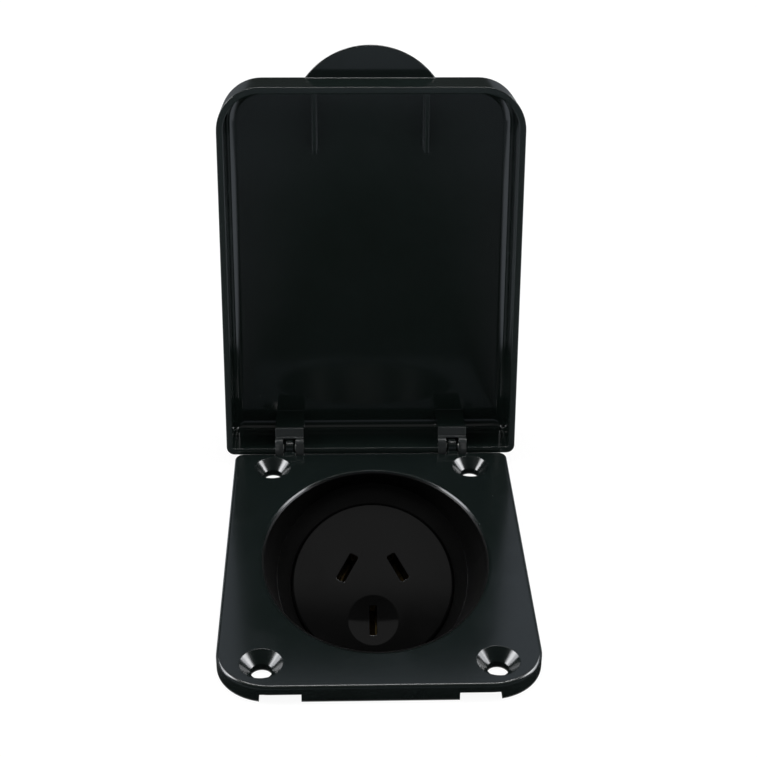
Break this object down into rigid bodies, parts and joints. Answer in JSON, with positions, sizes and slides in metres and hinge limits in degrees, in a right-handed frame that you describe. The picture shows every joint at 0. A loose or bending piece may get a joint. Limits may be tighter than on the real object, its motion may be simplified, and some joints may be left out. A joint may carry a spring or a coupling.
{
  "type": "caravan power outlet",
  "caption": "Black flanged power outlet for a caravan wall, with a tilted recess, a slotted socket face at its floor and a hinged cap lid with a finger tab.",
  "frame": {"origin": "centre of the panel screw pattern, on the face that seats on the panel", "axes": "+Z out of the panel, +Y towards the hinge, +X to the right as seen from the front"},
  "size_m": [0.0798, 0.1317, 0.1679],
  "materials": {
    "gloss_black": "gloss moulded",
    "satin_black": "satin moulded",
    "base_black": "matt moulded",
    "cover_black": "satin moulded",
    "brass": "rolled",
    "steel": "zinc plated",
    "rubber": "matt"
  },
  "bodies": {
    "housing": {"mounting_plate": "gloss_black", "socket_insert": "satin_black", "contact_base": "base_black", "rear_cover": "cover_black", "active_contact": "brass", "neutral_contact": "brass", "earth_contact": "brass", "active_terminal": "brass", "neutral_terminal": "brass", "earth_terminal": "brass", "active_terminal_screw": "steel", "neutral_terminal_screw": "steel", "earth_terminal_screw": "steel", "base_screws": "steel", "insert_screws": "steel", "cover_screws": "steel", "cable_grommet": "rubber"},
    "lid": {"lid": "gloss_black", "hinge_pin_left": "steel", "hinge_pin_right": "steel"}
  },
  "joints": [
    {"name": "lid_hinge", "type": "hinge", "parent": "housing", "child": "lid", "pos_m": [0, 0.0495, 0.0044], "axis": [1, 0, 0], "range_deg": [0, 100]}
  ]
}
